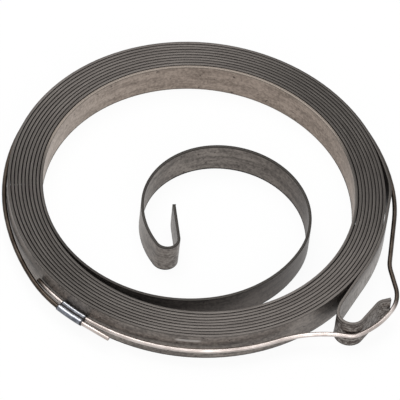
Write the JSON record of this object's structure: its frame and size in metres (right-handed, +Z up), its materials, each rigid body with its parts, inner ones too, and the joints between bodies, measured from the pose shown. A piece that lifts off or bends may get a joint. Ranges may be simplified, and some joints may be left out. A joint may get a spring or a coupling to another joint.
{
  "type": "return spring",
  "caption": "Flat spiral return spring of steel strip with a free inner coil and a hook at each end, held wound by a wire ring.",
  "frame": {"origin": "On the axis of the wound coils, at their underside.", "axes": "+Z runs up the axis of the coils, across the strip's width. The outer hook is at +X, -Y. Seen from above, the strip runs outwards clockwise."},
  "size_m": [0.0795, 0.0764, 0.0065],
  "materials": {
    "spring_steel": "dull rolled strip with rubbed patches",
    "wire_steel": "bright drawn wire",
    "sleeve_steel": "satin crimped tube"
  },
  "bodies": {
    "root": {"spring_strip": "spring_steel", "retaining_wire": "wire_steel", "splice_sleeve": "sleeve_steel"}
  },
  "joints": []
}
